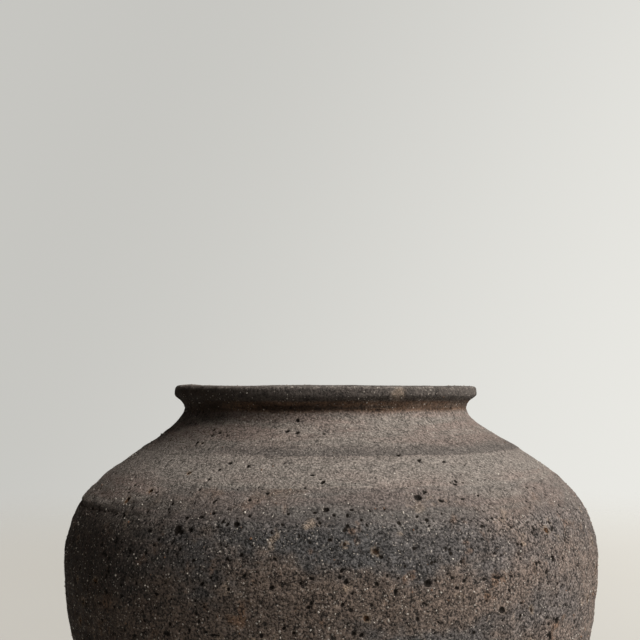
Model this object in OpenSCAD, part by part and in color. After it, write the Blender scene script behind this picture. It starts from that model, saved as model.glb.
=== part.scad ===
// Coil-built black clay pot: a wide-shouldered jar with a short hollow neck and a rolled lip.
// It is raised from a flat pat of clay by luting one course of clay on top of another, so each
// course is a solid of its own. Neighbours meet on a scarf: the upper course laps down over the
// outside of the lower one, and both share the same sloping face.
// The origin is at the middle of the foot, where the pot rests. +Z is up. Sizes in millimetres.

/* [Body] */
// Radius of the belly at its widest
belly_r = 150; // [135:1:165]
// Height of the widest part of the belly
belly_h = 135; // [120:1:145]
// Radius at the outer edge of the foot
foot_r = 86; // [75:1:95]
// Height of the rounded edge under the foot
foot_edge = 4; // [2:0.5:6]
// Lean of the wall where it leaves the foot, in degrees from upright
foot_lean = 50; // [40:1:58]

/* [Shoulder and neck] */
// Radius where the shoulder turns from swelling to hollow
shoulder_r = 104.5; // [98:0.5:110]
// Height of that turn
shoulder_h = 206.7; // [202:0.1:210]
// Lean of the shoulder at that turn, in degrees from upright
shoulder_lean = 57.4; // [50:0.1:62]
// Outer radius at the narrowest part of the neck
neck_r = 80.5; // [76:0.5:84]
// Height of the narrowest part of the neck
neck_h = 228.2; // [225:0.1:230]

/* [Lip] */
// Height of the whole pot, at the top of the lip
pot_h = 240; // [238:0.5:246]
// Outer radius of the rolled lip
lip_r = 85.7; // [85:0.1:90]
// Height of the upright outer face of the lip
lip_face = 2.5; // [1:0.1:3]
// Radius of the rounding at the lip's top edges
lip_round = 2.2; // [1:0.1:3]

/* [Clay] */
// Thickness of the wall just above the foot
foot_wall = 9.5; // [8:0.5:11]
// Thickness of the wall at the shoulder and the neck
top_wall = 8; // [6:0.5:9]
// How far each scarf climbs along the wall from the outside to the inside
scarf = 7; // [3:0.5:10]

/* [Seams] */
// Height of the seam above the foot course, on the outside
foot_seam_h = 36; // [30:1:44]
// Height of the seam above the lower wall course
wall_seam_h = 78; // [70:1:86]
// Height of the seam at the belly
belly_seam_h = 127; // [118:1:134]
// Height of the seam where the belly turns into the shoulder
shoulder_seam_h = 177; // [170:1:182]
// Height of the seam across the shoulder
upper_seam_h = 205.4; // [200:0.1:206]
// Height of the seam at the root of the neck
neck_seam_h = 219; // [216:0.5:221]

/* [Hidden] */
$fn = 180;

// Straight parts that each curve and each course is drawn with
curve_steps = 48;
course_steps = 10;
corner_steps = 6;

// Bezier handles, as lengths along the wall from each turning point
foot_handle = 60;
belly_low_handle = 42;
belly_high_handle = 42;
shoulder_low_handle = 36;
shoulder_high_handle = 28;
neck_low_handle = 3;
neck_high_handle = 4.4;
lip_handle = 2.2;

// Radius of the throat, the straight bore inside the neck
throat_r = neck_r - top_wall;
// Height where the upright face of the lip begins
lip_face_h = pot_h - lip_round - lip_face;

// A direction in the section, as [radius, height], leaning outwards by an angle from upright
function leaning(angle) = [sin(angle), cos(angle)];

// Point on a cubic Bezier curve
function on_bezier(p, t) =
    pow(1 - t, 3) * p[0] + 3 * pow(1 - t, 2) * t * p[1] + 3 * (1 - t) * t * t * p[2] + pow(t, 3) * p[3];

// The four curves of the outer wall, from the foot to the face of the lip
up = [0, 1];
foot_point = [foot_r, foot_edge];
belly_point = [belly_r, belly_h];
shoulder_point = [shoulder_r, shoulder_h];
neck_point = [neck_r, neck_h];
lip_point = [lip_r, lip_face_h];
wall_curves = [
    [foot_point, foot_point + foot_handle * leaning(foot_lean),
     belly_point - belly_low_handle * up, belly_point],
    [belly_point, belly_point + belly_high_handle * up,
     shoulder_point - shoulder_low_handle * leaning(-shoulder_lean), shoulder_point],
    [shoulder_point, shoulder_point + shoulder_high_handle * leaning(-shoulder_lean),
     neck_point - neck_low_handle * up, neck_point],
    [neck_point, neck_point + neck_high_handle * up, lip_point - lip_handle * up, lip_point]
];

// Where a curve that only rises reaches a height, by halving the stretch it lies in
function rise_to(p, h, low = 0, high = 1, tries = 24) =
    let (middle = (low + high) / 2)
    tries == 0 ? middle :
    on_bezier(p, middle)[1] < h ? rise_to(p, h, middle, high, tries - 1)
                                : rise_to(p, h, low, middle, tries - 1);

// The wall as one run, counted 0 to 4: the whole part is the curve and the rest is the place on it
function wall_at(run) =
    let (curve = min(floor(run), len(wall_curves) - 1))
    on_bezier(wall_curves[curve], run - curve);
function run_at(h, curve = 0) =
    curve == len(wall_curves) - 1 || wall_curves[curve][3][1] >= h
        ? curve + rise_to(wall_curves[curve], h)
        : run_at(h, curve + 1);

// Direction along the wall, and the thickness of the clay there
nudge = 0.001;
function along_wall(run) =
    let (step = wall_at(run + nudge) - wall_at(max(run - nudge, 0)))
    step / norm(step);
function thickness(run) =
    let (share = min(wall_at(run)[1] / shoulder_seam_h, 1))
    foot_wall + (top_wall - foot_wall) * share;

// The inner face lies square to the wall, one thickness in, and never closer than the throat
function inside_at(run) =
    let (d = along_wall(run), p = wall_at(run) + thickness(run) * [-d[1], d[0]])
    [max(p[0], throat_r), p[1]];

// The run that lies a length further along the wall, walked in short straight steps
function further(run, length) =
    let (next = run + 1 / curve_steps, step = norm(wall_at(next) - wall_at(run)))
    step >= length ? run + length / step / curve_steps : further(next, length - step);

// Runs of the seams, on the outside and on the inside
foot_run = run_at(foot_seam_h);
wall_run = run_at(wall_seam_h);
belly_run = run_at(belly_seam_h);
shoulder_run = run_at(shoulder_seam_h);
upper_run = run_at(upper_seam_h);
neck_run = run_at(neck_seam_h);
lip_run = run_at(neck_h);

// Section of a course between two runs of the wall, with the length of the scarf at each end.
// A scarf of no length is a joint cut square to the wall.
module course(bottom, top, scarf_below = scarf, scarf_above = scarf) {
    inner_bottom = further(bottom, scarf_below);
    inner_top = further(top, scarf_above);
    outside = [for (i = [0:course_steps]) wall_at(bottom + (top - bottom) * i / course_steps)];
    inside = [for (i = [course_steps:-1:0])
        inside_at(inner_bottom + (inner_top - inner_bottom) * i / course_steps)];
    rotate_extrude() polygon(concat(outside, inside));
}

// Quarter round of the section about a centre, from a start angle counted from the +radius side
function quarter(centre, r, start) =
    [for (i = [0:corner_steps])
        centre + r * [cos(start + 90 * i / corner_steps), sin(start + 90 * i / corner_steps)]];

// Flat disc that the pot is raised on. Its edge is cut square to the wall that it carries.
module base_pat() {
    color([0.20, 0.17, 0.15])
    rotate_extrude() polygon(concat(
        [[0, 0]],
        quarter([foot_r - foot_edge, foot_edge], foot_edge, -90),
        [inside_at(0)],
        [[0, inside_at(0)[1]]]
    ));
}

module foot_course() {
    color([0.21, 0.18, 0.16]) course(0, foot_run, scarf_below = 0);
}

module lower_wall_course() {
    color([0.22, 0.19, 0.17]) course(foot_run, wall_run);
}

module lower_belly_course() {
    color([0.23, 0.20, 0.18]) course(wall_run, belly_run);
}

module upper_belly_course() {
    color([0.24, 0.22, 0.21]) course(belly_run, shoulder_run);
}

module lower_shoulder_course() {
    color([0.33, 0.30, 0.28]) course(shoulder_run, upper_run);
}

module upper_shoulder_course() {
    color([0.36, 0.32, 0.29]) course(upper_run, neck_run);
}

module neck_collar() {
    color([0.27, 0.21, 0.17]) course(neck_run, lip_run, scarf_above = 0);
}

// The last coil, pressed down on the collar and rolled outwards, with a flat top
module rolled_lip() {
    underside = [for (i = [0:course_steps])
        wall_at(lip_run + (len(wall_curves) - lip_run) * i / course_steps)];
    color([0.21, 0.21, 0.22])
    rotate_extrude() polygon(concat(
        underside,
        quarter([lip_r - lip_round, pot_h - lip_round], lip_round, 0),
        quarter([throat_r + lip_round, pot_h - lip_round], lip_round, 90),
        [inside_at(lip_run)]
    ));
}

base_pat();
foot_course();
lower_wall_course();
lower_belly_course();
upper_belly_course();
lower_shoulder_course();
upper_shoulder_course();
neck_collar();
rolled_lip();
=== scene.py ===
"""A coil-built, smoke-blackened clay pot.

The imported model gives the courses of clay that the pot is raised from. Here their common surface
is drawn over them, weathered by a tree of geometry nodes (hand-made unevenness, ridges, pits and
craters) and cut back into one closed piece of clay for each course. Grit is then pressed into it.
All lengths are in metres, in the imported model's own frame: the foot stands on z = 0, +Z is up.
"""

import math

import bpy
import numpy as np
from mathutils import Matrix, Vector


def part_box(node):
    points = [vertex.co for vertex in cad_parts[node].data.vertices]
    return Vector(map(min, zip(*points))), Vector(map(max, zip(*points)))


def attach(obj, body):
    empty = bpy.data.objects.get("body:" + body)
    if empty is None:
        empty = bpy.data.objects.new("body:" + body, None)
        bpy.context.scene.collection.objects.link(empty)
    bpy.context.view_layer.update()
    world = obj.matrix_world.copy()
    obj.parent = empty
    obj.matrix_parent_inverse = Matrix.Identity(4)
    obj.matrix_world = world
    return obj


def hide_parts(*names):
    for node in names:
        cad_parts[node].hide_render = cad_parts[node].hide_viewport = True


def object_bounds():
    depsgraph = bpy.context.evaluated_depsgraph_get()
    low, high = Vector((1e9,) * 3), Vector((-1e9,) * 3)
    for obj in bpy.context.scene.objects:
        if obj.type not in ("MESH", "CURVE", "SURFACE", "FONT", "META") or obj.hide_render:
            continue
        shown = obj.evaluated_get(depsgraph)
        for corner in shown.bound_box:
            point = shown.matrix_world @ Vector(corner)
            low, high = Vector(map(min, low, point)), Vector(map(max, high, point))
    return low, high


bl_info = {
    "name": "Coil-built clay pot",
    "version": (1, 0, 0),
    "blender": (4, 5, 0),
    "location": "3D View > Sidebar > Clay pot",
    "description": "Dresses the pot's courses in gritty, pitted, smoke-blackened clay",
    "category": "Object",
}

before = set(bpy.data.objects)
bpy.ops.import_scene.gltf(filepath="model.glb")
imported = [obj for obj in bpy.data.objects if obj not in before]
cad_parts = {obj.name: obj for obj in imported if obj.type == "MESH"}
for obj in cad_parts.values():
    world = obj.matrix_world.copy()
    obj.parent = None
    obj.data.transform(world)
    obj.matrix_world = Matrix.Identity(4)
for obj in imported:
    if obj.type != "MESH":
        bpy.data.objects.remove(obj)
cad_low, cad_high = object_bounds()

MM = 0.001
BODY = "root"
SKIN = "clay_skin"
BAKE_MAP = "OFBake"

# The pieces of clay, from the ground up
PAT = "base_pat"
COURSES = [
    "foot_course",
    "lower_wall_course",
    "lower_belly_course",
    "upper_belly_course",
    "lower_shoulder_course",
    "upper_shoulder_course",
    "neck_collar",
]
LIP = "rolled_lip"
PIECES = [PAT] + COURSES + [LIP]

# Heights and radii that the looks follow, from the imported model
POT_TOP = cad_high.z
BELLY_RADIUS = cad_high.x
SHOULDER_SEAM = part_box("lower_shoulder_course")[0].z
BAND_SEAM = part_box("lower_shoulder_course")[1].z
NECK_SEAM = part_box("neck_collar")[0].z
LIP_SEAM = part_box("rolled_lip")[0].z
LIP_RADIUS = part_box("rolled_lip")[1].x


# ---- Settings ----


def length(name, description, default):
    """A setting that is a length in metres."""
    return bpy.props.FloatProperty(
        name=name, description=description, default=default, min=0.0, precision=5, unit="LENGTH"
    )


def share(name, description, default):
    """A setting that is a share, from 0 to 1."""
    return bpy.props.FloatProperty(
        name=name, description=description, default=default, min=0.0, max=1.0, subtype="FACTOR"
    )


def colour(name, description, default):
    """A setting that is a colour of clay or of light."""
    return bpy.props.FloatVectorProperty(
        name=name, description=description, default=default, min=0.0, max=1.0, size=3, subtype="COLOR"
    )


def amount(name, description, default):
    """A setting that is a plain number, from 0 up."""
    return bpy.props.FloatProperty(name=name, description=description, default=default, min=0.0)


def angle(name, description, degrees):
    """A setting that is an angle, whose default is given in degrees."""
    return bpy.props.FloatProperty(
        name=name, description=description, default=math.radians(degrees), subtype="ANGLE"
    )


def number(name, description, default, least=0):
    """A setting that is a whole number."""
    return bpy.props.IntProperty(name=name, description=description, default=default, min=least)


class GridSettings(bpy.types.PropertyGroup):
    """How finely the surface is drawn."""

    columns: number("Columns", "Points round the pot, best a multiple of 60", 1200, least=60)
    row_gap: length("Row gap", "Distance between rows of points on the outside", 0.8 * MM)
    inside_gap: length("Inside row gap", "Distance between rows of points on the inside", 4.2 * MM)


class HandSettings(bpy.types.PropertyGroup):
    """How uneven the potter's hands left the clay."""

    lean: length("Lean", "How far body and neck stand to opposite sides of the axis", 1.3 * MM)
    tuck: length("Tuck", "How far the wall is drawn in below the belly's widest part", 2.2 * MM)
    unevenness: length("Unevenness", "Depth of the broad hollows and swells", 1.1 * MM)
    ridge_depth: length("Ridge depth", "Depth of the level marks left by smoothing", 0.45 * MM)
    ridge_gap: length("Ridge gap", "Height from one level mark to the next", 8.0 * MM)
    lump_depth: length("Lump depth", "Depth of the small lumps", 0.45 * MM)
    grain_depth: length("Grain depth", "Depth of the sandy grain", 0.30 * MM)
    step_depth: length("Step depth", "How far a course stands proud over the one below", 0.7 * MM)
    seed: number("Seed", "Seed of the weathering", 30)


class PitSettings(bpy.types.PropertyGroup):
    """The holes that burnt-out and pulled-out grit leaves."""

    crater_radius: length("Crater radius", "Radius of the largest craters", 1.9 * MM)
    crater_depth: length("Crater depth", "Depth of the craters", 1.5 * MM)
    craters: amount("Craters", "Craters in a square metre of belly", 1200.0)
    pit_radius: length("Pit radius", "Radius of the largest pits", 1.0 * MM)
    pit_depth: length("Pit depth", "Depth of the pits", 1.2 * MM)
    pits: amount("Pits", "Pits in a square metre of belly", 17000.0)
    cracks: amount("Cracks", "Short cracks in a square metre of belly", 700.0)
    shoulder_share: share("Shoulder share", "Share of the belly's pits that the shoulder has", 0.3)


class GritSettings(bpy.types.PropertyGroup):
    """The stone grains that show in the surface."""

    quartz: amount("Quartz", "Pale grains in a square metre of belly", 30000.0)
    iron: amount("Iron", "Rusty grains in a square metre of belly", 2200.0)
    smallest: length("Smallest", "Radius of the smallest grains", 0.22 * MM)
    largest: length("Largest", "Radius of the largest grains", 0.85 * MM)
    shoulder_share: share("Shoulder share", "Share of the belly's grains that the shoulder has", 0.4)


class FiringSettings(bpy.types.PropertyGroup):
    """The colours that the smoke left on the clay, and the colour of its painted shade."""

    slate: colour("Slate", "Dark blue-grey of the belly's smoked clay", (0.049, 0.047, 0.047))
    umber: colour("Umber", "Brown of the belly's less smoked clay", (0.080, 0.061, 0.050))
    taupe: colour("Taupe", "Greyish brown of the shoulder", (0.180, 0.143, 0.126))
    ash: colour("Ash", "Pale grey-beige band low on the shoulder", (0.180, 0.160, 0.143))
    soot: colour("Soot", "Dark band above the shoulder's step", (0.100, 0.088, 0.080))
    rust: colour("Rust", "Rusty brown under the lip and in the craters", (0.120, 0.060, 0.028))
    ochre: colour("Ochre", "Pale ochre round the craters", (0.270, 0.205, 0.150))
    char: colour("Char", "Charcoal of the lip", (0.054, 0.045, 0.040))
    # Painted shade: this colour darkens the shaded left side and the shadow under the lip
    smut: colour("Smut", "Brown-black smoke, under the lip and on the left", (0.020, 0.011, 0.006))
    sand: colour("Sand", "Pale sand that shows as specks", (0.400, 0.360, 0.320))


class StageSettings(bpy.types.PropertyGroup):
    """The camera and the soft light round the pot."""

    distance: length("Distance", "From the camera to the pot's axis", 745 * MM)
    lens: amount("Lens", "Focal length in mm, on a 36 mm sensor", 73.1)
    aim_rise: length("Aim rise", "How far above the lip the camera aims", 37.8 * MM)
    aim_side: length("Aim side", "How far to the left of the axis the camera aims", 5.2 * MM)
    backdrop: colour("Backdrop", "Pale plaster colour of the backdrop", (0.700, 0.695, 0.660))
    shade: colour("Shade", "Colour of the light on the shaded side", (1.0, 0.45, 0.18))
    floor_radius: length("Floor radius", "Where the floor has faded away", 2.4)
    key_strength: amount("Key strength", "Strength of the soft light", 6.0)
    key_spread: angle("Key spread", "How wide the soft light looks from the pot", 50.0)
    key_turn: angle("Key turn", "How far the soft light stands round to the camera's right", 66.0)
    key_rise: angle("Key rise", "How high the soft light stands", 40.0)
    fill: amount("Fill", "Strength of the light from all round", 0.06)


SETTINGS = {
    "clay_grid": GridSettings,
    "clay_hands": HandSettings,
    "clay_pits": PitSettings,
    "clay_grit": GritSettings,
    "clay_firing": FiringSettings,
    "clay_stage": StageSettings,
}


def named_values(*groups):
    """What the settings say, by the names that they have in the panel and in the trees."""
    return {
        group.bl_rna.properties[key].name: getattr(group, key)
        for group in groups
        for key in type(group).__annotations__
    }


# ---- Writing node trees as sums ----

VECTOR = "NodeSocketVector"
FLOAT = "NodeSocketFloat"
COLOUR = "NodeSocketColor"
SOCKETS = {float: FLOAT, int: "NodeSocketInt", bpy.types.Material: "NodeSocketMaterial"}


class Field:
    """A socket of a node tree that can be used in sums, like a number."""

    def __init__(self, tree, socket):
        self.tree = tree
        self.socket = socket

    def __add__(self, other):
        return sum_node(self.tree, "ADD", self, other)

    def __sub__(self, other):
        return sum_node(self.tree, "SUBTRACT", self, other)

    def __rsub__(self, other):
        return sum_node(self.tree, "SUBTRACT", other, self)

    def __mul__(self, other):
        return sum_node(self.tree, "MULTIPLY", self, other)

    def __truediv__(self, other):
        return sum_node(self.tree, "DIVIDE", self, other)

    def __rtruediv__(self, other):
        return sum_node(self.tree, "DIVIDE", other, self)

    __radd__ = __add__
    __rmul__ = __mul__


def put(tree, kind, inputs=None, **settings):
    """Adds a node, sets it up, and feeds its inputs with fields or plain values."""
    node = tree.nodes.new(kind)
    for name, value in settings.items():
        setattr(node, name, value)
    for key, value in (inputs or {}).items():
        if isinstance(value, Field):
            tree.links.new(value.socket, node.inputs[key])
        else:
            node.inputs[key].default_value = value
    return node


def made(tree, kind, inputs=None, output=0, **settings):
    """Adds a node and gives one of its outputs as a field."""
    return Field(tree, put(tree, kind, inputs, **settings).outputs[output])


def sum_node(tree, operation, *terms):
    return made(tree, "ShaderNodeMath", dict(enumerate(terms)), operation=operation)


def lower(a, b):
    return sum_node(a.tree, "MINIMUM", a, b)


def higher(a, b):
    return sum_node(a.tree, "MAXIMUM", a, b)


def ease(value, start, end, low=0.0, high=1.0):
    """Goes smoothly from low, where value is at start, to high, where it is at end."""
    inputs = {"Value": value, "From Min": start, "From Max": end, "To Min": low, "To Max": high}
    return made(value.tree, "ShaderNodeMapRange", inputs, "Result", interpolation_type="SMOOTHSTEP")


def vector_sum(tree, operation, *terms, output="Vector"):
    return made(tree, "ShaderNodeVectorMath", dict(enumerate(terms)), output, operation=operation)


def scaled(vector, factor):
    """A vector made longer by a number or a field."""
    inputs = {0: vector, "Scale": factor}
    return made(vector.tree, "ShaderNodeVectorMath", inputs, "Vector", operation="SCALE")


def vector_of(tree, x=0.0, y=0.0, z=0.0):
    return made(tree, "ShaderNodeCombineXYZ", {0: x, 1: y, 2: z})


def height_of(vector):
    return made(vector.tree, "ShaderNodeSeparateXYZ", {0: vector}, "Z")


def sideways(vector):
    return made(vector.tree, "ShaderNodeSeparateXYZ", {0: vector}, "X")


def drawn_out(vector, factor):
    """A place with its level distances shortened, so that noise is drawn out round the pot."""
    return vector_sum(vector.tree, "MULTIPLY", vector, (factor, factor, 1.0))


def clouds(vector, size, detail=2.0, roughness=0.5, output=0):
    """Noise from 0 to 1, mostly near 0.5, whose swells are about the given size."""
    inputs = {"Vector": vector, "Scale": 1.0 / size, "Detail": detail, "Roughness": roughness}
    return made(vector.tree, "ShaderNodeTexNoise", inputs, output)


def jitter(vector, size, reach):
    """A random vector that changes from place to place and reaches about as far as given."""
    noise = clouds(vector, size, output=1)
    return scaled(vector_sum(vector.tree, "SUBTRACT", noise, (0.5, 0.5, 0.5)), reach)


def swell(vector, size, detail=2.0, roughness=0.5):
    """Noise on both sides of 0, mostly between -1 and 1."""
    return (clouds(vector, size, detail, roughness) - 0.5) * 3.0


def blend_colour(factor, first, second):
    """Goes from the first colour to the second as the factor goes from 0 to 1."""
    settings = {"data_type": "RGBA", "clamp_factor": True}
    return made(factor.tree, "ShaderNodeMix", {0: factor, 6: first, 7: second}, 2, **settings)


def add_input(tree, name, kind, default=None):
    socket = tree.interface.new_socket(name=name, in_out="INPUT", socket_type=kind)
    if default is not None:
        socket.default_value = default


def add_output(tree, name, kind):
    tree.interface.new_socket(name=name, in_out="OUTPUT", socket_type=kind)


def opaque(rgb):
    """A colour with full opacity, as a colour socket takes it."""
    return (rgb[0], rgb[1], rgb[2], 1.0)


# ---- The pot's outline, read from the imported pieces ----


def section_corners(name):
    """The corners of a piece's section, one (radius, height) each."""
    points = np.array([vertex.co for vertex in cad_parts[name].data.vertices])
    corners = np.column_stack((np.hypot(points[:, 0], points[:, 1]), points[:, 2]))
    return np.unique(np.round(corners, 5), axis=0)


def walk_outline(corners, start, apart=0.1 * MM):
    """Puts the section's corners in order, going each time to the nearest one not yet passed."""
    path = [start]
    left = corners
    while True:
        away = np.linalg.norm(left - path[-1], axis=1)
        left = left[away > apart]
        away = away[away > apart]
        if len(left) == 0:
            return np.array(path)
        path.append(left[np.argmin(away)])


def gap_to(points, others):
    """How far each point is from the nearest of the others."""
    return np.linalg.norm(points[:, None] - others[None, :], axis=2).min(axis=1)


def joint_corners(below, above, apart=0.1 * MM):
    """The corners that neighbouring pieces share, from the inside to the outside."""
    shared = below[gap_to(below, above) < apart]
    return shared[np.argsort(shared[:, 0])]


def smooth_curve(points, lengths, at):
    """Places at given lengths along a curve that runs smoothly through the points."""
    slopes = np.gradient(points, lengths, axis=0)
    stretch = np.clip(np.searchsorted(lengths, at) - 1, 0, len(points) - 2)
    step = (lengths[stretch + 1] - lengths[stretch])[:, None]
    t = (at - lengths[stretch])[:, None] / step
    ahead = stretch + 1
    return (
        (1 + 2 * t) * (1 - t) ** 2 * points[stretch]
        + t * (1 - t) ** 2 * step * slopes[stretch]
        + t * t * (3 - 2 * t) * points[ahead]
        + t * t * (t - 1) * step * slopes[ahead]
    )


def rows_between(start, end, gap):
    """Lengths from start to end, evenly spaced, without the last one."""
    count = max(int(math.ceil((end - start) / gap)), 1)
    return list(np.linspace(start, end, count + 1)[:-1])


class Rows:
    """The rows of the whole surface, from the middle of the underside round to the middle inside."""

    POLE_RADIUS = 0.8 * MM
    DISC_GAP = 2.4 * MM
    SAME = 0.05 * MM

    def __init__(self, settings):
        corners = [section_corners(name) for name in PIECES]
        joints = [joint_corners(a, b) for a, b in zip(corners, corners[1:])]
        buried = np.vstack([joint[gap_to(joint, joint[[0, -1]]) > self.SAME] for joint in joints])
        shown = np.vstack(corners)
        shown = shown[gap_to(shown, buried) > self.SAME]
        shown = shown[shown[:, 0] > self.DISC_GAP]
        under = shown[shown[:, 1] < self.SAME]
        outline = walk_outline(shown, under[np.argmax(under[:, 0])])
        steps = np.linalg.norm(np.diff(outline, axis=0), axis=1)
        along = np.concatenate(([0.0], np.cumsum(steps)))

        def length_at(corner):
            return along[np.argmin(np.linalg.norm(outline - corner, axis=1))]

        outer = [length_at(joint[-1]) for joint in joints]
        inner = [length_at(joint[0]) for joint in joints]
        stops = [0.0] + outer + inner[::-1]
        gaps = [settings.row_gap] * (len(outer) + 1) + [settings.inside_gap] * (len(inner) - 1)
        lengths = []
        marks = []
        for start, end, gap in zip(stops, stops[1:], gaps):
            marks.append(len(lengths))
            lengths += rows_between(start, end, gap)
        marks.append(len(lengths))
        lengths.append(stops[-1])
        wall = smooth_curve(outline, along, np.array(lengths))
        inside_from = marks[len(outer) + 1]
        self.round_inside(wall, inside_from)

        under = self.disc(wall[0])
        floor = self.disc(wall[-1])[::-1]
        self.places = np.vstack((under, wall, floor))
        marks = [mark + len(under) for mark in marks]
        self.outer_seams = marks[1 : len(outer) + 1]
        self.inner_seams = marks[len(outer) + 1 :][::-1]
        self.floor_row = self.inner_seams[0]
        self.inside_row = inside_from + len(under)

    def disc(self, rim):
        """Rows of a flat disc, from its middle out to the rim, without the rim."""
        count = int(rim[0] / self.DISC_GAP)
        radii = np.linspace(self.POLE_RADIUS, rim[0], count + 1)[:-1]
        return np.column_stack((radii, np.full(count, rim[1])))

    @staticmethod
    def round_inside(wall, start, passes=3):
        """Rounds the inside as a finger does, most of all where the wall meets the floor."""
        for _ in range(passes):
            wall[start + 1 : -1] = (wall[start:-2] + 2 * wall[start + 1 : -1] + wall[start + 2 :]) / 4


# ---- Geometry nodes: weathering and grit ----


def random_field(tree, low, high, seed):
    return made(tree, "FunctionNodeRandomValue", {2: low, 3: high, "Seed": seed}, 1)


def random_direction(tree, seed):
    inputs = {0: (-1.0, -1.0, -1.0), 1: (1.0, 1.0, 1.0), "Seed": seed}
    return vector_sum(
        tree, "NORMALIZE", made(tree, "FunctionNodeRandomValue", inputs, data_type="FLOAT_VECTOR")
    )


def scatter(tree, geometry, density, seed):
    """Points spread at random over a surface."""
    inputs = {"Mesh": geometry, "Density": density, "Seed": seed}
    return made(tree, "GeometryNodeDistributePointsOnFaces", inputs, "Points")


def sampled(tree, points, value, index, kind="FLOAT"):
    inputs = {"Geometry": points, "Value": value, "Index": index}
    return made(tree, "GeometryNodeSampleIndex", inputs, "Value", data_type=kind)


def place_field(tree):
    return made(tree, "GeometryNodeInputPosition")


def rim_distance(tree, geometry, place, density, radii, stretch, seed):
    """Distance to the rim of the nearest hole (negative inside it), and that hole's own tone."""
    holes = scatter(tree, geometry, density, seed)
    nearest = {"Geometry": holes, "Sample Position": place}
    index = made(tree, "GeometryNodeSampleNearest", nearest, "Index")
    centre = sampled(tree, holes, place_field(tree), index, "FLOAT_VECTOR")
    radius = sampled(tree, holes, random_field(tree, *radii, seed), index)
    grain = sampled(tree, holes, random_direction(tree, seed + 1), index, "FLOAT_VECTOR")
    tone = sampled(tree, holes, random_field(tree, 0.0, 1.0, seed + 2), index)
    away = vector_sum(tree, "SUBTRACT", place, centre)
    along = vector_sum(tree, "DOT_PRODUCT", away, grain, output="Value")
    straight = vector_sum(tree, "DOT_PRODUCT", away, away, output="Value")
    squeezed = straight - along * along * (1.0 - 1.0 / stretch**2)
    return sum_node(tree, "SQRT", squeezed) - radius, tone


def named_field(tree, name):
    return made(tree, "GeometryNodeInputNamedAttribute", {"Name": name}, "Attribute", data_type="FLOAT")


def store(tree, geometry, name, value):
    inputs = {"Geometry": geometry, "Name": name, "Value": value}
    settings = {"data_type": "FLOAT", "domain": "POINT"}
    return made(tree, "GeometryNodeStoreNamedAttribute", inputs, "Geometry", **settings)


def new_geometry_tree(name, values):
    """A geometry node tree with an input for each named value, and the fields that they give."""
    tree = bpy.data.node_groups.new(name, "GeometryNodeTree")
    tree.is_modifier = True
    add_input(tree, "Geometry", "NodeSocketGeometry")
    add_output(tree, "Geometry", "NodeSocketGeometry")
    for label, value in values.items():
        add_input(tree, label, SOCKETS[type(value)], value)
    group_in = tree.nodes.new("NodeGroupInput")
    return tree, {socket.name: Field(tree, socket) for socket in group_in.outputs if socket.name}


def close_tree(tree, geometry, material):
    """Ends a tree with real geometry and its material."""
    real = made(tree, "GeometryNodeRealizeInstances", {"Geometry": geometry})
    dressed = made(tree, "GeometryNodeSetMaterial", {"Geometry": real, "Material": material})
    group_out = tree.nodes.new("NodeGroupOutput")
    tree.links.new(dressed.socket, group_out.inputs["Geometry"])


def belly_share(tree, place, shoulder_share):
    """1 on the belly, falling to the shoulder's own share above it."""
    warped = height_of(place) + swell(place, 40 * MM) * (6 * MM)
    return ease(warped, SHOULDER_SEAM + 4 * MM, SHOULDER_SEAM + 20 * MM, 1.0, shoulder_share)


def step_at(place, height, fade, undercut):
    """The edge of a course that laps over the one below: a lip, with an undercut below it."""
    wavy = height_of(place) + swell(place, 30 * MM) * (0.5 * MM) - height
    lap = ease(wavy, -0.4 * MM, 0.4 * MM) * ease(wavy, fade, 0.0)
    groove = ease(wavy, -1.6 * MM, -0.2 * MM) * ease(wavy, 0.6 * MM, 0.0)
    return lap - groove * undercut


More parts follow.
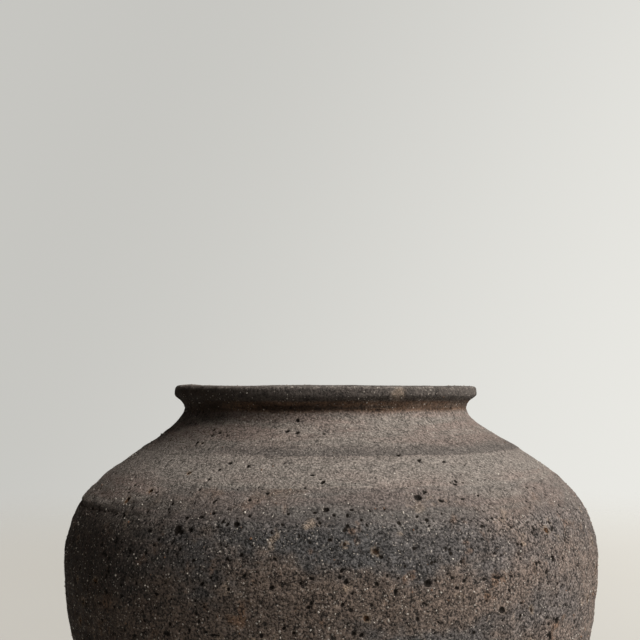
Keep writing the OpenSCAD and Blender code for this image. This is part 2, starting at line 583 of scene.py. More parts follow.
def weathering_tree(values):
    """Moves a smooth skin of clay as hands, fire and wear did, and notes where its holes are."""
    tree, given = new_geometry_tree("Weathered clay", values)
    skin = given["Geometry"]
    seed = given["Seed"]
    place = place_field(tree)
    outward = made(tree, "GeometryNodeInputNormal")
    outside = 1.0 - named_field(tree, "inside")
    height = height_of(place)
    rough = belly_share(tree, place, 0.45)

    # What the hands left: swells, level marks, lumps and grain
    chance = vector_sum(tree, "ADD", place, vector_of(tree, seed, seed * 2.0, seed * 3.0))
    offset = swell(chance, 110 * MM, detail=1.0) * given["Unevenness"]
    level_marks = swell(drawn_out(place, 0.10), given["Ridge gap"], detail=3.0)
    offset = offset + level_marks * given["Ridge depth"]
    offset = offset + swell(place, 13 * MM) * given["Lump depth"] * rough
    offset = offset + swell(place, 2.6 * MM, detail=3.0, roughness=0.6) * given["Grain depth"] * rough

    # Where a course stands proud of the one below
    left_side = ease(sideways(place), -0.50 * BELLY_RADIUS, -0.78 * BELLY_RADIUS, 0.04, 1.0)
    broken = ease(clouds(place, 24 * MM), 0.42, 0.55, 0.15, 1.0)
    shoulder_step = step_at(place, SHOULDER_SEAM, 9 * MM, 0.8) * left_side * broken
    band_step = step_at(place, BAND_SEAM, 12 * MM, 0.1) * 0.35
    neck_ledge = step_at(place, LIP_SEAM, 2 * MM, 1.0) * 0.35
    steps = shoulder_step + band_step + neck_ledge
    smoothed = ease(height, LIP_SEAM + 3 * MM, LIP_SEAM) * (0.5 * MM)
    offset = offset - smoothed + steps * given["Step depth"] * outside

    # The holes, whose rims a fine noise makes ragged
    few_on_lip = ease(height, NECK_SEAM, LIP_SEAM, 1.0, 0.3)
    holes_here = belly_share(tree, place, given["Shoulder share"]) * few_on_lip * outside
    ragged = vector_sum(tree, "ADD", place, jitter(place, 1.8 * MM, 1.1 * MM))
    crater_radii = (given["Crater radius"] * 0.5, given["Crater radius"])
    pit_radii = (given["Pit radius"] * 0.35, given["Pit radius"])
    crack_radii = (0.35 * MM, 0.6 * MM)
    craters, tone = rim_distance(
        tree, skin, ragged, given["Craters"] * holes_here, crater_radii, 1.3, seed + 4
    )
    pits, _ = rim_distance(tree, skin, ragged, given["Pits"] * holes_here, pit_radii, 1.5, seed + 14)
    cracks, _ = rim_distance(
        tree, skin, ragged, given["Cracks"] * holes_here, crack_radii, 6.0, seed + 24
    )
    crater_hole = ease(craters, 0.3 * MM, -0.9 * MM) * given["Crater depth"]
    pit_hole = ease(lower(pits, cracks), 0.3 * MM, -0.5 * MM) * given["Pit depth"]
    crater_rim = ease(craters, 1.6 * MM, 0.4 * MM) * (0.12 * MM)
    offset = offset + crater_rim - higher(crater_hole, pit_hole)

    # The lower wall is drawn in, the neck stands off the axis, and the underside stays flat
    tucked = ease(height, 0.66 * POT_TOP, 0.45 * POT_TOP) * ease(height, 0.25 * POT_TOP, 0.42 * POT_TOP)
    offset = offset - tucked * given["Tuck"] * outside
    lean_to = ease(height, BAND_SEAM + 2 * MM, LIP_SEAM - 4 * MM, 1.0, -1.3)
    lean_to = lean_to * ease(height, 0.0, 0.3 * POT_TOP)
    standing = ease(height, 0.0, 9 * MM, 0.08, 1.0)
    lean = vector_of(tree, lean_to * given["Lean"])
    move = vector_sum(tree, "ADD", scaled(outward, offset * standing), lean)
    skin = store(tree, skin, "pit", lower(craters, lower(pits, cracks)) / MM)
    skin = store(tree, skin, "crater", craters / MM)
    skin = store(tree, skin, "tone", tone)
    moved = made(tree, "GeometryNodeSetPosition", {"Geometry": skin, "Offset": move})
    close_tree(tree, moved, None)
    return tree


def grit_tree(values):
    """Presses rough little stones into the clay, each with a tone of its own."""
    tree, given = new_geometry_tree("Scattered grit", values)
    place = place_field(tree)
    outside = 1.0 - named_field(tree, "inside")
    solid = ease(named_field(tree, "pit"), 0.1, 0.5) * ease(height_of(place), 1.5 * MM, 4 * MM)
    density = given["Grains"] * belly_share(tree, place, given["Shoulder share"]) * outside * solid
    points = scatter(tree, given["Geometry"], density, given["Seed"])
    points = store(tree, points, "tone", random_field(tree, 0.0, 1.0, 5))
    chance = random_field(tree, 0.0, 1.0, 6) * random_field(tree, 0.0, 1.0, 7)
    size = given["Smallest"] + (given["Largest"] - given["Smallest"]) * chance
    stones = {
        "Points": points,
        "Instance": made(tree, "GeometryNodeMeshIcoSphere", {"Radius": 1.0, "Subdivisions": 1}, "Mesh"),
        "Rotation": scaled(random_direction(tree, 8), math.pi),
        "Scale": vector_of(tree, size, size * 0.8, size * 0.65),
    }
    placed = made(tree, "GeometryNodeInstanceOnPoints", stones)
    real = made(tree, "GeometryNodeRealizeInstances", {"Geometry": placed})
    chips = {"Geometry": real, "Offset": jitter(place, 0.7 * MM, 0.25 * MM)}
    close_tree(tree, made(tree, "GeometryNodeSetPosition", chips), given["Stone"])
    return tree


def run_tree(mesh, tree, values):
    """Runs a geometry node tree on a mesh and gives back the plain mesh that comes out."""
    holder = bpy.data.objects.new("holder", mesh)
    bpy.context.scene.collection.objects.link(holder)
    modifier = holder.modifiers.new("Nodes", "NODES")
    modifier.node_group = tree
    for item in tree.interface.items_tree:
        if item.item_type == "SOCKET" and item.in_out == "INPUT" and item.name in values:
            modifier[item.identifier] = values[item.name]
    depsgraph = bpy.context.evaluated_depsgraph_get()
    result = bpy.data.meshes.new_from_object(
        holder.evaluated_get(depsgraph), preserve_all_data_layers=True, depsgraph=depsgraph
    )
    holder.modifiers.remove(modifier)
    bpy.data.objects.remove(holder)
    return result


# ---- Meshes: the skin, and the pieces cut from it ----


def grid_faces(rows, columns, close_rows=False):
    """Faces of a grid that closes round its columns, and round its rows too if asked."""
    last = rows if close_rows else rows - 1
    row, column = (way.ravel() for way in np.indices((last, columns)))
    above = (row + 1) % rows
    beside = (column + 1) % columns
    corners = [(row, column), (row, beside), (above, beside), (above, column)]
    return np.column_stack([at * columns + along for at, along in corners])


def mesh_from(name, points, faces):
    mesh = bpy.data.meshes.new(name)
    mesh.from_pydata(points, [], faces)
    mesh.update()
    return mesh


def set_values(mesh, name, values):
    layer = mesh.attributes.new(name, "FLOAT", "POINT")
    layer.data.foreach_set("value", np.ascontiguousarray(values, dtype=np.float32).ravel())


def read(layer, key, shape):
    """One attribute of all of a mesh's points, as an array of the given shape."""
    values = np.empty(math.prod(shape), dtype=np.float32)
    layer.foreach_get(key, values)
    return values.reshape(shape)


class Skin:
    """The weathered surface as arrays, one entry for each row and column."""

    NOTES = ("pit", "crater", "tone", "inside")
    FAR = {"pit": 10.0, "crater": 10.0, "tone": 0.5, "inside": 1.0}

    def __init__(self, grid):
        self.rows = Rows(grid)
        self.columns = grid.columns
        mesh = bpy.data.meshes[SKIN]
        shape = (len(self.rows.places), self.columns)
        self.points = read(mesh.vertices, "co", shape + (3,))
        self.normals = read(mesh.vertex_normals, "vector", shape + (3,))
        self.notes = {name: read(mesh.attributes[name].data, "value", shape) for name in self.NOTES}


def joint_rows(skin, start, end, count=2):
    """Rows that cross a luted joint, from one row of the surface to another."""
    shares = np.linspace(0.0, 1.0, count + 2)[1:-1, None, None]
    return skin.points[start] * (1.0 - shares) + skin.points[end] * shares


def assemble(skin, stretches, closed=True):
    """Stacks stretches of the surface, with a joint after each, into one run of rows.

    A closed run has a joint from the last stretch back to the first too. The normals of a joint are
    zero, which leaves its faces their own.
    """
    points = []
    normals = []
    notes = {name: [] for name in skin.NOTES}
    kinds = []
    for index, (first, last) in enumerate(stretches):
        stretch = slice(first, last + 1)
        points.append(skin.points[stretch])
        normals.append(skin.normals[stretch])
        for name in skin.NOTES:
            notes[name].append(skin.notes[name][stretch])
        for row in range(first, last + 1):
            kinds.append("inside" if row >= skin.rows.inside_row else "outside")
        if index == len(stretches) - 1 and not closed:
            break
        joint = joint_rows(skin, last, stretches[(index + 1) % len(stretches)][0])
        points.append(joint)
        normals.append(np.zeros_like(joint))
        for name in skin.NOTES:
            notes[name].append(np.full(joint.shape[:2], skin.FAR[name], dtype=np.float32))
        kinds += ["joint"] * len(joint)
    notes = {name: np.vstack(notes[name]) for name in notes}
    return np.vstack(points), np.vstack(normals), notes, kinds


def clay_of(kinds, columns):
    """The material number of each face of a run: 0 on the outside, 1 inside and on the joints."""
    return np.repeat([0 if kind == "outside" else 1 for kind in kinds], columns)


def strip_map(mesh, points, kinds, gap=0.004):
    """Lays the closed strip of a course on its map in level bands, the outside at full size."""
    worth = {"outside": 1.0, "inside": 0.35, "joint": 0.15}
    rows, columns = points.shape[:2]
    steps = np.linalg.norm(np.roll(points[:, 0], -1, axis=0) - points[:, 0], axis=1)
    rise = np.concatenate(([0.0], np.cumsum(steps * [worth[kind] for kind in kinds])))
    round_length = 2.0 * math.pi * np.hypot(points[:, 0, 0], points[:, 0, 1]).mean()
    wanted = math.sqrt(round_length / rise[-1])
    bands = min((n for n in range(1, 25) if columns % n == 0), key=lambda n: abs(n - wanted))
    wide = columns // bands
    row, column = (way.ravel() for way in np.indices((rows, columns)))
    left, right = (gap + (column % wide + side) / wide * (1.0 - 2.0 * gap) for side in (0, 1))
    tall = (1.0 - gap * (bands + 1)) / bands
    base = gap + (column // wide) * (tall + gap)
    bottom, top = (base + rise[row + side] / rise[-1] * tall for side in (0, 1))
    corners = np.stack((left, bottom, right, bottom, right, top, left, top), axis=1)
    layer = mesh.uv_layers.new(name=BAKE_MAP)
    layer.data.foreach_set("uv", corners.astype(np.float32).ravel())


def shade_smooth(mesh, chosen=None):
    """Shades the chosen faces smooth, or all of them."""
    smooth = np.ones(len(mesh.polygons), dtype=bool) if chosen is None else chosen
    mesh.polygons.foreach_set("use_smooth", smooth)


def finish_piece(name, mesh, replaced):
    """Puts a mesh in the scene as a piece that rides on the pot."""
    piece = bpy.data.objects.new(name, mesh)
    bpy.context.scene.collection.objects.link(piece)
    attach(piece, BODY)
    if replaced:
        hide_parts(replaced)


def cut_ring(skin, node, stretches, materials):
    """Cuts a course, a closed ring of clay, out of the weathered surface."""
    points, normals, notes, kinds = assemble(skin, stretches)
    faces = grid_faces(len(points), skin.columns, close_rows=True)
    mesh = mesh_from(node + "_clay", points.reshape(-1, 3), faces)
    for name, values in notes.items():
        set_values(mesh, name, values)
    strip_map(mesh, points, kinds)
    for material in materials:
        mesh.materials.append(material)
    mesh.polygons.foreach_set("material_index", clay_of(kinds, skin.columns).astype(np.int32))
    shown = ["joint" not in ends for ends in zip(kinds, kinds[1:] + kinds[:1])]
    shade_smooth(mesh, np.repeat(shown, skin.columns))
    mesh.normals_split_custom_set_from_vertices(normals.reshape(-1, 3))
    finish_piece(node + "_clay", mesh, node)


# ---- Shader groups ----


def shader_group(name, inputs, outputs, build):
    """A shader node group, built once: build takes the inputs as fields and gives the outputs."""
    if name in bpy.data.node_groups:
        return bpy.data.node_groups[name]
    tree = bpy.data.node_groups.new(name, "ShaderNodeTree")
    for label, (kind, default) in inputs.items():
        add_input(tree, label, kind, default)
    for label, kind in outputs.items():
        add_output(tree, label, kind)
    group_in = tree.nodes.new("NodeGroupInput")
    group_out = tree.nodes.new("NodeGroupOutput")
    fields = {socket.name: Field(tree, socket) for socket in group_in.outputs if socket.name}
    for label, field in build(tree, fields).items():
        tree.links.new(field.socket, group_out.inputs[label])
    return tree


def use_group(tree, group, inputs):
    """Places a shader group and gives its outputs as fields."""
    node = put(tree, "ShaderNodeGroup", inputs, node_tree=group)
    return {socket.name: Field(tree, socket) for socket in node.outputs}


GREY = (0.1, 0.1, 0.1, 1.0)
# Near-black colours painted into pits and pinholes as painted shade
PIT_SHADE = (0.010, 0.007, 0.005, 1.0)
PINHOLE_SHADE = (0.012, 0.009, 0.007, 1.0)
# The fired colours, and the colour of the painted shade
FIRED_AND_SHADE_COLOURS = ("Slate", "Umber", "Taupe", "Ash", "Soot", "Rust", "Ochre", "Char", "Smut")


def speck_group():
    """Specks of sand: round spots, one to a cell at most, of mixed size and tone."""

    def build(tree, given):
        scale = 1.0 / given["Spacing"]
        cells = put(tree, "ShaderNodeTexVoronoi", {"Vector": given["Vector"], "Scale": scale})
        away = Field(tree, cells.outputs["Distance"])
        mixed = put(tree, "ShaderNodeSeparateColor", {0: Field(tree, cells.outputs["Color"])})
        tone, width, luck = (Field(tree, socket) for socket in mixed.outputs)
        size = width * given["Size"] + 0.04
        chosen = sum_node(tree, "LESS_THAN", luck, given["Amount"])
        return {"Mask": ease(away, size, size * 0.6) * chosen, "Tone": tone}

    inputs = {
        "Vector": (VECTOR, None),
        "Spacing": (FLOAT, 2 * MM),
        "Size": (FLOAT, 0.4),
        "Amount": (FLOAT, 0.5),
    }
    return shader_group("Sand specks", inputs, {"Mask": FLOAT, "Tone": FLOAT}, build)


def firing_group():
    """The colour that the fire left, by height and by chance, from the foot to the lip, with painted
    light on the lit right and painted shade on the shaded left and under the lip.
    """

    def build(tree, given):
        place = given["Vector"]
        wander = swell(place, 38 * MM, detail=3.0)
        height = height_of(place)
        level = height + wander * (5 * MM)
        side = sideways(place)
        patches = clouds(drawn_out(place, 0.55), 34 * MM, detail=4.0, roughness=0.65)
        browner = ease(height, SHOULDER_SEAM, SHOULDER_SEAM - 40 * MM, -0.06, 0.05)
        belly = blend_colour(ease(patches + browner, 0.42, 0.60), given["Slate"], given["Umber"])
        # Painted light: the belly is painted paler towards the lit right side
        painted_light_right = ease(side + wander * (14 * MM), 0.05 * BELLY_RADIUS, 0.95 * BELLY_RADIUS, 0.0, 0.35)
        belly = blend_colour(painted_light_right, belly, given["Taupe"])
        blots = clouds(place, 15 * MM, detail=3.0, roughness=0.6)
        belly = blend_colour(ease(blots, 0.58, 0.70, 0.0, 0.45), belly, given["Rust"])
        belly = blend_colour(ease(blots, 0.38, 0.28, 0.0, 0.45), belly, given["Ochre"])

        streaks = drawn_out(place, 0.12)
        streaky = clouds(streaks, 7 * MM, detail=4.0, roughness=0.6)
        upper = blend_colour(ease(streaky, 0.40, 0.62), given["Taupe"], given["Ash"])
        upper = blend_colour(ease(patches, 0.52, 0.68, 0.0, 0.3), upper, given["Umber"])
        edge = height + swell(place, 30 * MM) * (0.5 * MM)
        above_seam = ease(edge, BAND_SEAM - 0.5 * MM, BAND_SEAM + 0.6 * MM)
        upper = blend_colour(above_seam * 0.15, upper, given["Umber"])
        under_band = ease(level, SHOULDER_SEAM + 12 * MM, BAND_SEAM - 6 * MM) * (1.0 - above_seam)
        upper = blend_colour(under_band * 0.8, upper, given["Ash"])
        band = above_seam * ease(edge, BAND_SEAM + 8 * MM, BAND_SEAM + 1.5 * MM)
        band_side = ease(side, -0.65 * BELLY_RADIUS, -0.15 * BELLY_RADIUS, 0.25, 1.0)
        upper = blend_colour(band * band_side * 0.95, upper, given["Soot"])
        # Painted shade and a cloud of smoke: the belly is darkened in patches towards the shaded left
        # side
        smoked = ease(side + wander * (10 * MM), -0.25 * BELLY_RADIUS, -0.9 * BELLY_RADIUS)
        smoked = smoked * ease(patches, 0.62, 0.46, 0.52, 0.86)
        belly = blend_colour(smoked, belly, given["Smut"])
        to_left = ease(side, -0.4 * BELLY_RADIUS, -0.8 * BELLY_RADIUS)
        pale_from = SHOULDER_SEAM + 14 * MM - to_left * (12 * MM)
        pale = ease(edge + wander * (1 * MM) - pale_from, -1.2 * MM, 1.2 * MM)
        to_right = ease(side, 0.2 * BELLY_RADIUS, 0.6 * BELLY_RADIUS)
        fades = ease(level - pale_from, -24 * MM, 0.0) * (0.55 - to_left * 0.35 + to_right * 0.15)
        mixed = blend_colour(higher(pale, fades), belly, upper)

        under_lip = ease(height + wander * (0.8 * MM), LIP_SEAM - 3 * MM, LIP_SEAM + 0.5 * MM)
        mixed = blend_colour(under_lip * 0.8, mixed, given["Rust"])
        # Painted shadow under the lip, weaker towards the lit right side
        lip_shadow = ease(clouds(streaks, 5 * MM, detail=3.0), 0.38, 0.56, 0.45, 0.95)
        lip_shadow = lip_shadow * ease(side, 0.2 * LIP_RADIUS, 0.9 * LIP_RADIUS, 1.0, 0.65)
        mixed = blend_colour(under_lip * lip_shadow, mixed, given["Smut"])
        on_lip = ease(height + wander * (0.7 * MM), LIP_SEAM + 3.2 * MM, LIP_SEAM + 5 * MM)
        mixed = blend_colour(on_lip, mixed, given["Char"])
        # Painted shade on the neck's shaded left side, below the lip
        neck_shadow = ease(side, -0.35 * LIP_RADIUS, -0.9 * LIP_RADIUS, 0.0, 0.85)
        near_lip = ease(height + wander * (2 * MM), NECK_SEAM, LIP_SEAM - 2 * MM)
        mixed = blend_colour(neck_shadow * near_lip, mixed, given["Smut"])
        return {"Color": mixed}

    inputs = {"Vector": (VECTOR, None)}
    for label in FIRED_AND_SHADE_COLOURS:
        inputs[label] = (COLOUR, GREY)
    return shader_group("Smoke firing", inputs, {"Color": COLOUR}, build)


def sand_group():
    """Sand and grain in the clay: pale specks, pinholes painted dark as painted shade, and the height
    that they give.
    """

    def build(tree, given):
        even = given["Vector"]
        place = vector_sum(tree, "ADD", even, jitter(even, 0.8 * MM, 0.9 * MM))
        fine = clouds(even, 1.2 * MM, detail=3.0, roughness=0.7)
        coarse = clouds(even, 4.5 * MM, detail=3.0, roughness=0.6)
        grain = ease(fine, 0.30, 0.70, -1.0, 1.0) + (coarse - 0.5) * 2.2
        shade = scaled(given["Color"], higher(1.0 + grain * given["Contrast"], 0.12))
        crowd = ease(clouds(even, 9 * MM, detail=3.0, roughness=0.6), 0.35, 0.65, 0.30, 1.7)

        def specks(spacing, size, amount):
            inputs = {"Vector": place, "Spacing": spacing, "Size": size, "Amount": amount}
            return use_group(tree, speck_group(), inputs)

        small = specks(1.3 * MM, 0.34, crowd * given["Small"])
        big = specks(3.6 * MM, 0.17, crowd * given["Large"])
        holes = specks(2.3 * MM, 0.22, given["Holes"])
        strength = small["Mask"] * ease(small["Tone"], 0.0, 1.0, 0.12, 0.80)
        shade = blend_colour(strength, shade, given["Sand"])
        shade = blend_colour(big["Mask"] * ease(big["Tone"], 0.0, 1.0, 0.15, 0.9), shade, given["Sand"])
        # Painted shade: the pinholes are painted near black
        shade = blend_colour(holes["Mask"] * 0.85, shade, PINHOLE_SHADE)
        raised = grain * 0.22 + small["Mask"] * 0.10 + big["Mask"] * 0.2 - holes["Mask"] * 0.4
        return {"Color": shade, "Height": raised}

    inputs = {
        "Vector": (VECTOR, None),
        "Color": (COLOUR, GREY),
        "Sand": (COLOUR, (0.4, 0.36, 0.32, 1.0)),
        "Contrast": (FLOAT, 0.8),
        "Small": (FLOAT, 0.5),
        "Large": (FLOAT, 0.5),
        "Holes": (FLOAT, 0.3),
    }
    return shader_group("Sand in the clay", inputs, {"Color": COLOUR, "Height": FLOAT}, build)


def attribute_field(tree, name):
    return made(tree, "ShaderNodeAttribute", None, "Fac", attribute_name=name)


def hole_group():
    """Painted shade in the pits, and the pale ring and rusty heart of some craters."""

    def build(tree, given):
        place = given["Vector"]
        ragged = swell(place, 1.1 * MM, detail=2.0) * 0.22
        pit = attribute_field(tree, "pit") + ragged
        crater = attribute_field(tree, "crater") + ragged
        tone = attribute_field(tree, "tone")
        patchy = ease(clouds(place, 1.6 * MM, detail=3.0), 0.35, 0.65)
        ring = ease(crater, 1.8, 0.2) * ease(tone, 0.45, 0.7) * patchy
        shade = blend_colour(ring * 0.6, given["Color"], given["Ochre"])
        # Painted shade: the inside of each pit is painted near black
        inner = ease(pit, 0.12, -0.12)
        shade = blend_colour(inner, shade, PIT_SHADE)
        lumpy = ease(clouds(place, 0.9 * MM, detail=3.0), 0.42, 0.58)
        heart = ease(crater, 0.15, -0.3) * ease(tone, 0.55, 0.7) * lumpy
        shade = blend_colour(heart * 0.85, shade, given["Rust"])
        return {"Color": shade}

    inputs = {
        "Vector": (VECTOR, None),
        "Color": (COLOUR, GREY),
        "Ochre": (COLOUR, (0.27, 0.2, 0.15, 1.0)),
        "Rust": (COLOUR, (0.15, 0.08, 0.04, 1.0)),
    }
    return shader_group("Sooty holes", inputs, {"Color": COLOUR}, build)


# ---- Materials ----

CLAY_BUMP = 0.9 * MM
# How bright the floor is painted on its shaded and on its lit side, as painted light
FLOOR_PAINTED_LIGHT = (0.64, 0.86)


def new_material(name):
    material = bpy.data.materials.new(name)
    material.use_nodes = True
    tree = material.node_tree
    tree.nodes.clear()
    return material, tree, made(tree, "ShaderNodeTexCoord", None, "Object")


def end_material(tree, inputs):
    """Ends a material with its one shader."""
    shader = made(tree, "ShaderNodeBsdfPrincipled", inputs, "BSDF")
    out = tree.nodes.new("ShaderNodeOutputMaterial")
    tree.links.new(shader.socket, out.inputs["Surface"])


def finish_material(tree, shade, rough, raised, depth, specular=0.25):
    """Joins colour, roughness and bump to the clay's own shader."""
    bump = {"Height": raised, "Distance": depth, "Strength": 1.0}
    inputs = {
        "Base Color": shade,
        "Roughness": rough,
        "Normal": made(tree, "ShaderNodeBump", bump, "Normal"),
        "Specular IOR Level": specular,
    }
    end_material(tree, inputs)


def sanded(tree, place, shade, sand, contrast, small, large, holes):
    """Puts sand in a colour of clay, and gives the colour and the height that come out."""
    inputs = {
        "Vector": place,
        "Color": shade,
        "Sand": opaque(sand),
        "Contrast": contrast,
        "Small": small,
        "Large": large,
        "Holes": holes,
    }
    return use_group(tree, sand_group(), inputs)


def clay_material(name, firing, contrast, small, large, holes, after=None):
    """Smoke-fired clay with sand in it. after, if given, changes the colour before the sand shows."""
    material, tree, place = new_material(name)
    fired = {label: opaque(getattr(firing, label.lower())) for label in FIRED_AND_SHADE_COLOURS}
    shade = use_group(tree, firing_group(), {"Vector": place, **fired})["Color"]
    if after:
        shade = after(tree, place, shade)
    sandy = sanded(tree, place, shade, firing.sand, contrast, small, large, holes)
    inputs = {"Vector": place, "Color": sandy["Color"], "Ochre": fired["Ochre"], "Rust": fired["Rust"]}
    holed = use_group(tree, hole_group(), inputs)
    rough = ease(clouds(place, 12 * MM, detail=3.0), 0.3, 0.7, 0.82, 0.96)
    finish_material(tree, holed["Color"], rough, sandy["Height"], CLAY_BUMP)
    return material


def belly_clay(firing):
    return clay_material("belly clay", firing, 1.1, 0.85, 0.75, 0.50)


def shoulder_clay(firing):
    return clay_material("shoulder clay", firing, 0.62, 0.50, 0.30, 0.22)


def neck_clay(firing):
    return clay_material("neck clay", firing, 0.65, 0.40, 0.20, 0.15)


def lip_clay(firing):
    """Charcoal clay, rubbed paler along the top edge and painted paler on its lit right side as painted
    light, with one crust of lime on its face.
    """

    def rub_and_paint_light(tree, place, shade):
        worn = ease(height_of(place), POT_TOP - 2.4 * MM, POT_TOP - 0.4 * MM)
        patchy = ease(clouds(place, 6 * MM, detail=4.0, roughness=0.65), 0.35, 0.65, 0.15, 0.75)
        # Painted light: paler towards the lit right side; the top edge's paleness is real wear
        painted_light_right = ease(sideways(place), -0.4 * LIP_RADIUS, LIP_RADIUS, 0.0, 0.4)
        shade = blend_colour(higher(worn, painted_light_right) * patchy, shade, opaque(firing.ash))
        crust = (36.0 * MM, -77.8 * MM, POT_TOP - 5 * MM)
        away = vector_sum(tree, "DISTANCE", place, crust, output="Value")
        ragged = away + swell(place, 5 * MM, detail=3.0) * (2.2 * MM)
        return blend_colour(ease(ragged, 6 * MM, 2 * MM, 0.0, 0.40), shade, opaque(firing.ochre))

    return clay_material("lip clay", firing, 0.60, 0.60, 0.40, 0.15, rub_and_paint_light)


def foot_clay(firing):
    """The foot: scuffed pale where the pot is set down."""

    def scuff(tree, place, shade):
        low = ease(height_of(place), 5 * MM, 0.5 * MM)
        patchy = ease(clouds(place, 9 * MM, detail=4.0, roughness=0.65), 0.35, 0.65, 0.1, 0.7)
        return blend_colour(low * patchy, shade, opaque(firing.taupe))

    return clay_material("foot clay", firing, 0.75, 0.60, 0.40, 0.25, scuff)


def inside_clay(firing):
    """The inside: smoke-darkened clay with the marks of wiping fingers, dusty on the floor."""
    material, tree, place = new_material("inside clay")
    wiped = clouds(drawn_out(place, 0.14), 9 * MM, detail=4.0, roughness=0.6)
    patches = clouds(place, 40 * MM, detail=4.0, roughness=0.6)
    shade = blend_colour(ease(wiped, 0.35, 0.65), opaque(firing.char), opaque(firing.umber))
    shade = blend_colour(ease(patches, 0.48, 0.62, 0.0, 0.6), shade, opaque(firing.soot))
    dusty = ease(height_of(place), 30 * MM, 12 * MM, 0.0, 0.5) * ease(patches, 0.35, 0.6)
    shade = blend_colour(dusty, shade, opaque(firing.ash))
    sandy = sanded(tree, place, shade, firing.sand, 0.55, 0.35, 0.25, 0.2)
    rough = ease(wiped, 0.3, 0.7, 0.85, 0.96)
    finish_material(tree, sandy["Color"], rough, sandy["Height"] + wiped * 0.3, CLAY_BUMP)
    return material


def stone_material(name, dark, light):
    """Bare stone: each grain has its own tone, with a faint mottling."""
    material, tree, place = new_material(name)
    tone = attribute_field(tree, "tone")
    mottle = clouds(place, 0.5 * MM, detail=2.0)
    shade = blend_colour(tone * 0.8 + mottle * 0.3, opaque(dark), opaque(light))
    rough = ease(mottle, 0.3, 0.7, 0.5, 0.8)
    finish_material(tree, shade, rough, mottle, 0.1 * MM, specular=0.4)
    return material


def floor_material(backdrop, reach):
    """Pale floor, painted paler on the lit side as painted light, that fades into the backdrop far from
    the pot.
    """
    material, tree, place = new_material("pale floor")
    mottle = (clouds(place, 0.3, detail=3.0) - 0.5) * 0.1
    # Painted light: the floor is painted paler towards the lit right side
    lit = ease(sideways(place), -0.2, 0.6) + mottle
    dim, bright = (opaque([part * factor for part in backdrop]) for factor in FLOOR_PAINTED_LIGHT)
    away = vector_sum(tree, "LENGTH", place, output="Value")
    faded = ease(away, reach, reach * 0.4)
    end_material(tree, {"Base Color": blend_colour(lit, dim, bright), "Roughness": 0.9, "Alpha": faded})
    return material


# ---- Operators ----


class CLAYPOT_OT_skin(bpy.types.Operator):
    """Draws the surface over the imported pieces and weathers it"""

    bl_idname = "claypot.skin"
    bl_label = "Weather the clay"

    def execute(self, context):
        grid = context.scene.clay_grid
        rows = Rows(grid)
        angles = np.linspace(0.0, 2.0 * math.pi, grid.columns, endpoint=False)
        radius, height = rows.places[:, 0, None], rows.places[:, 1, None]
        heights = np.repeat(height, grid.columns, 1)
        points = np.stack((radius * np.cos(angles), radius * np.sin(angles), heights), axis=2)
        smooth = mesh_from("smooth_skin", points.reshape(-1, 3), grid_faces(len(points), grid.columns))
        inside = np.zeros(points.shape[:2])
        inside[rows.inside_row :] = 1.0
        set_values(smooth, "inside", inside)
        shade_smooth(smooth)
        values = named_values(context.scene.clay_hands, context.scene.clay_pits)
        skin = run_tree(smooth, weathering_tree(values), values)
        skin.name = SKIN
        bpy.data.meshes.remove(smooth)
        return {"FINISHED"}


class CLAYPOT_OT_pat(bpy.types.Operator):
    """Cuts the flat pat of clay that the pot stands on"""

    bl_idname = "claypot.pat"
    bl_label = "Cut the base pat"

    def execute(self, context):
        skin = Skin(context.scene.clay_grid)
        rows = skin.rows
        stretches = [(0, rows.outer_seams[0]), (rows.floor_row, len(rows.places) - 1)]
        points, _, notes, kinds = assemble(skin, stretches, closed=False)
        poles = [points[0].mean(axis=0), points[-1].mean(axis=0)]
        faces = grid_faces(len(points), skin.columns).tolist()
        under_pole = len(points) * skin.columns
        top = under_pole - skin.columns
        for column in range(skin.columns):
            beside = (column + 1) % skin.columns
            faces.append((beside, column, under_pole))
            faces.append((top + column, top + beside, under_pole + 1))
        mesh = mesh_from("base_pat_clay", np.vstack((points.reshape(-1, 3), poles)), faces)
        for name, values in notes.items():
            set_values(mesh, name, np.append(values.ravel(), [skin.FAR[name]] * 2))
        firing = context.scene.clay_firing
        mesh.materials.append(foot_clay(firing))
        mesh.materials.append(inside_material(firing))
        strips = clay_of(kinds[:-1], skin.columns)
        chosen = np.concatenate((strips, np.tile([0, 1], skin.columns)))
        mesh.polygons.foreach_set("material_index", chosen.astype(np.int32))
        shade_smooth(mesh)
        finish_piece("base_pat_clay", mesh, PAT)
        return {"FINISHED"}


def inside_material(firing):
    """The one material that the inside of every piece shares."""
    return bpy.data.materials.get("inside clay") or inside_clay(firing)


def outside_materials(firing):
    """The clay that each course shows on its outside."""
    belly = belly_clay(firing)
    shoulder = shoulder_clay(firing)
    neck = neck_clay(firing)
    return [belly, belly, belly, belly, shoulder, shoulder, neck]


class CLAYPOT_OT_courses(bpy.types.Operator):
    """Cuts the seven courses of the wall, from the foot to the neck"""

    bl_idname = "claypot.courses"
    bl_label = "Cut the courses"

    def execute(self, context):
        skin = Skin(context.scene.clay_grid)
        rows = skin.rows
        firing = context.scene.clay_firing
        for index, (node, outside) in enumerate(zip(COURSES, outside_materials(firing))):
            outer = (rows.outer_seams[index], rows.outer_seams[index + 1])
            inner = (rows.inner_seams[index + 1], rows.inner_seams[index])
            cut_ring(skin, node, [outer, inner], [outside, inside_material(firing)])
        return {"FINISHED"}


class CLAYPOT_OT_lip(bpy.types.Operator):
    """Cuts the rolled lip, over its flat top and down to the joint inside"""

    bl_idname = "claypot.lip"
    bl_label = "Cut the lip"

    def execute(self, context):
        skin = Skin(context.scene.clay_grid)
        rows = skin.rows
        firing = context.scene.clay_firing
        over = (rows.outer_seams[-1], rows.inner_seams[-1])
        cut_ring(skin, LIP, [over], [lip_clay(firing), inside_material(firing)])
        return {"FINISHED"}


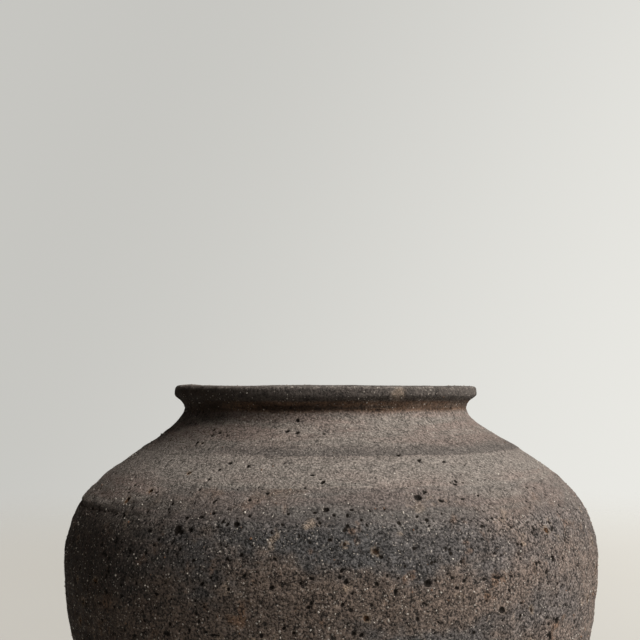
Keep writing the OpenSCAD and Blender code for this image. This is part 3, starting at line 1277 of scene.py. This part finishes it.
class CLAYPOT_OT_grit(bpy.types.Operator):
    """Presses pale quartz and rusty iron grains into the surface"""

    bl_idname = "claypot.grit"
    bl_label = "Press in the grit"

    def execute(self, context):
        grit = context.scene.clay_grit
        quartz = stone_material("quartz", (0.16, 0.135, 0.115), (0.50, 0.46, 0.41))
        iron = stone_material("iron stone", (0.05, 0.025, 0.015), (0.20, 0.10, 0.05))
        shared = {
            "Shoulder share": grit.shoulder_share,
            "Smallest": grit.smallest,
            "Largest": grit.largest,
        }
        kinds = {
            "quartz_grit": {"Grains": grit.quartz, "Seed": 101, "Stone": quartz},
            "iron_grit": {"Grains": grit.iron, "Seed": 202, "Stone": iron},
        }
        tree = grit_tree({**kinds["quartz_grit"], **shared})
        for name, own in kinds.items():
            mesh = run_tree(bpy.data.meshes[SKIN], tree, {**own, **shared})
            mesh.name = name
            finish_piece(name, mesh, None)
        return {"FINISHED"}


class CLAYPOT_OT_stage(bpy.types.Operator):
    """Sets the pale floor, the soft light and the camera"""

    bl_idname = "claypot.stage"
    bl_label = "Set the stage"

    def execute(self, context):
        stage = context.scene.clay_stage
        self.floor(stage)
        self.world(stage)
        self.key(stage)
        self.camera(stage)
        context.scene.view_settings.view_transform = "Standard"
        return {"FINISHED"}

    @staticmethod
    def floor(stage, count=96):
        reach = stage.floor_radius
        angles = [math.tau * index / count for index in range(count)]
        rim = [(reach * math.cos(angle), reach * math.sin(angle), 0.0) for angle in angles]
        mesh = mesh_from("pale_floor", rim, [tuple(range(count))])
        mesh.materials.append(floor_material(stage.backdrop, reach))
        floor = bpy.data.objects.new("pale_floor", mesh)
        bpy.context.scene.collection.objects.link(floor)

    @staticmethod
    def world(stage):
        """A pale backdrop to look at, painted paler to the right and lower down as painted light, and a
        soft light that is stronger from the right.
        """
        world = bpy.data.worlds.new("studio")
        bpy.context.scene.world = world
        world.use_nodes = True
        tree = world.node_tree
        tree.nodes.clear()
        toward = made(tree, "ShaderNodeTexCoord", None, "Generated")
        # Painted light: the backdrop is painted paler towards the right and lower down
        paler = vector_sum(tree, "DOT_PRODUCT", toward, (1.2, 0.0, -0.6), output="Value")
        plaster = {"Color": opaque(stage.backdrop), "Strength": ease(paler, -0.35, 0.40, 0.81, 1.18)}
        shown = made(tree, "ShaderNodeBackground", plaster)
        from_right = vector_sum(tree, "DOT_PRODUCT", toward, (0.80, -0.10, 0.60), output="Value")
        strength = ease(from_right, -0.7, 1.0, 0.08, 1.6) * stage.fill
        white = opaque((1.0, 0.97, 0.93))
        warmth = blend_colour(ease(from_right, 0.5, -0.5), white, opaque(stage.shade))
        lit = made(tree, "ShaderNodeBackground", {"Color": warmth, "Strength": strength})
        seen = made(tree, "ShaderNodeLightPath", None, "Is Camera Ray")
        mix = made(tree, "ShaderNodeMixShader", {0: seen, 1: lit, 2: shown})
        out = tree.nodes.new("ShaderNodeOutputWorld")
        tree.links.new(mix.socket, out.inputs["Surface"])

    @staticmethod
    def key(stage):
        """A wide soft light, like a window's, to the right of the camera and above the pot."""
        light = bpy.data.lights.new("key", "SUN")
        light.energy = stage.key_strength
        light.angle = stage.key_spread
        light.color = (1.0, 0.965, 0.92)
        key = bpy.data.objects.new("key", light)
        bpy.context.scene.collection.objects.link(key)
        turn = stage.key_turn
        level = math.cos(stage.key_rise)
        from_pot = Vector((math.sin(turn) * level, -math.cos(turn) * level, math.sin(stage.key_rise)))
        key.location = from_pot
        key.rotation_euler = (-from_pot).to_track_quat("-Z", "Y").to_euler()

    @staticmethod
    def camera(stage):
        """Level with the lip and tilted up a little, so that the foot is out of view."""
        data = bpy.data.cameras.new("camera")
        data.sensor_width = 36.0
        data.lens = stage.lens
        camera = bpy.data.objects.new("camera", data)
        bpy.context.scene.collection.objects.link(camera)
        camera.location = (0.0, -stage.distance, POT_TOP)
        aim = Vector((-stage.aim_side, 0.0, POT_TOP + stage.aim_rise))
        camera.rotation_euler = (aim - camera.location).to_track_quat("-Z", "Y").to_euler()
        bpy.context.scene.camera = camera


class CLAYPOT_PT_panel(bpy.types.Panel):
    """Lists the steps, from the clay to the stage"""

    bl_idname = "CLAYPOT_PT_panel"
    bl_label = "Clay pot"
    bl_space_type = "VIEW_3D"
    bl_region_type = "UI"
    bl_category = "Clay pot"

    def draw(self, context):
        column = self.layout.column(align=True)
        for step in STEPS:
            column.operator(step.bl_idname)
        for name, kind in SETTINGS.items():
            box = self.layout.box()
            for key in kind.__annotations__:
                box.prop(getattr(context.scene, name), key)


STEPS = [
    CLAYPOT_OT_stage,
    CLAYPOT_OT_skin,
    CLAYPOT_OT_pat,
    CLAYPOT_OT_courses,
    CLAYPOT_OT_lip,
    CLAYPOT_OT_grit,
]


def register():
    for settings in SETTINGS.values():
        bpy.utils.register_class(settings)
    for step in STEPS:
        bpy.utils.register_class(step)
    bpy.utils.register_class(CLAYPOT_PT_panel)
    for name, settings in SETTINGS.items():
        setattr(bpy.types.Scene, name, bpy.props.PointerProperty(type=settings))


def unregister():
    for name in SETTINGS:
        delattr(bpy.types.Scene, name)
    bpy.utils.unregister_class(CLAYPOT_PT_panel)
    for step in reversed(STEPS):
        bpy.utils.unregister_class(step)
    for settings in reversed(list(SETTINGS.values())):
        bpy.utils.unregister_class(settings)


def main():
    register()
    bpy.ops.claypot.stage()
    bpy.ops.claypot.skin()
    bpy.ops.claypot.pat()
    bpy.ops.claypot.courses()
    bpy.ops.claypot.lip()
    bpy.ops.claypot.grit()


if __name__ == "__main__":
    main()
